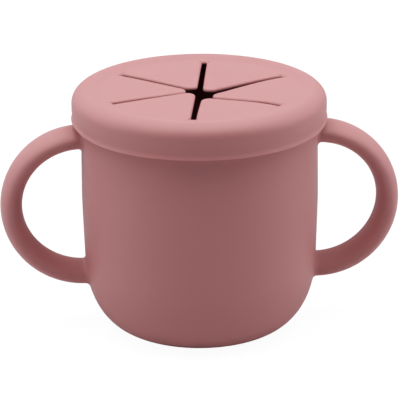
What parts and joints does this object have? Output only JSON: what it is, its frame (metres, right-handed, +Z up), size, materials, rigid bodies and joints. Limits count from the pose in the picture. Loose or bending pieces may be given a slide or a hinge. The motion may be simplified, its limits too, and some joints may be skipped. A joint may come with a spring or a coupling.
{
  "type": "toddler snack container",
  "caption": "Two-handled moulded silicone snack cup with a lift-off lid whose slitted middle bends in to let a small hand through.",
  "frame": {"origin": "centre of the cup's foot, on the surface it stands on", "axes": "+Z up along the cup's axis, +X through the right-hand handle as the picture shows it, +Y away from the picture's viewer"},
  "size_m": [0.1394, 0.0886, 0.086],
  "materials": {
    "cup_silicone": "matte moulded food-grade silicone, dusty rose",
    "lid_silicone": "matte moulded food-grade silicone, dusty rose"
  },
  "bodies": {
    "cup": {"cup_body": "cup_silicone", "handle_left": "cup_silicone", "handle_right": "cup_silicone"},
    "lid": {"lid_cap": "lid_silicone"},
    "flap_right": {"flap_right": "lid_silicone"},
    "flap_back_right": {"flap_back_right": "lid_silicone"},
    "flap_back_left": {"flap_back_left": "lid_silicone"},
    "flap_left": {"flap_left": "lid_silicone"},
    "flap_front_left": {"flap_front_left": "lid_silicone"},
    "flap_front_right": {"flap_front_right": "lid_silicone"}
  },
  "joints": [
    {"name": "lid_lift", "type": "slide", "parent": "cup", "child": "lid", "axis": [0, 0, 1], "range_m": [0, 0.06]},
    {"name": "flap_right_bend", "type": "hinge", "parent": "lid", "child": "flap_right", "pos_m": [0.02754, -0.00348, 0.08455], "axis": [-0.1253, -0.9921, 0], "range_deg": [-60, 75], "stiffness_Nm_per_rad": 0.003, "springref_deg": -0.97},
    {"name": "flap_back_right_bend", "type": "hinge", "parent": "lid", "child": "flap_back_right", "pos_m": [0.01678, 0.02211, 0.08455], "axis": [0.7965, -0.6046, 0], "range_deg": [-60, 75], "stiffness_Nm_per_rad": 0.003, "springref_deg": -0.97},
    {"name": "flap_back_left_bend", "type": "hinge", "parent": "lid", "child": "flap_back_left", "pos_m": [-0.01076, 0.02559, 0.08455], "axis": [0.9219, 0.3875, 0], "range_deg": [-60, 75], "stiffness_Nm_per_rad": 0.003, "springref_deg": -0.97},
    {"name": "flap_left_bend", "type": "hinge", "parent": "lid", "child": "flap_left", "pos_m": [-0.02754, 0.00348, 0.08455], "axis": [0.1253, 0.9921, 0], "range_deg": [-60, 75], "stiffness_Nm_per_rad": 0.003, "springref_deg": -0.97},
    {"name": "flap_front_left_bend", "type": "hinge", "parent": "lid", "child": "flap_front_left", "pos_m": [-0.01678, -0.02211, 0.08455], "axis": [-0.7965, 0.6046, 0], "range_deg": [-60, 75], "stiffness_Nm_per_rad": 0.003, "springref_deg": -0.97},
    {"name": "flap_front_right_bend", "type": "hinge", "parent": "lid", "child": "flap_front_right", "pos_m": [0.01076, -0.02559, 0.08455], "axis": [-0.9219, -0.3875, 0], "range_deg": [-60, 75], "stiffness_Nm_per_rad": 0.003, "springref_deg": -0.97}
  ]
}
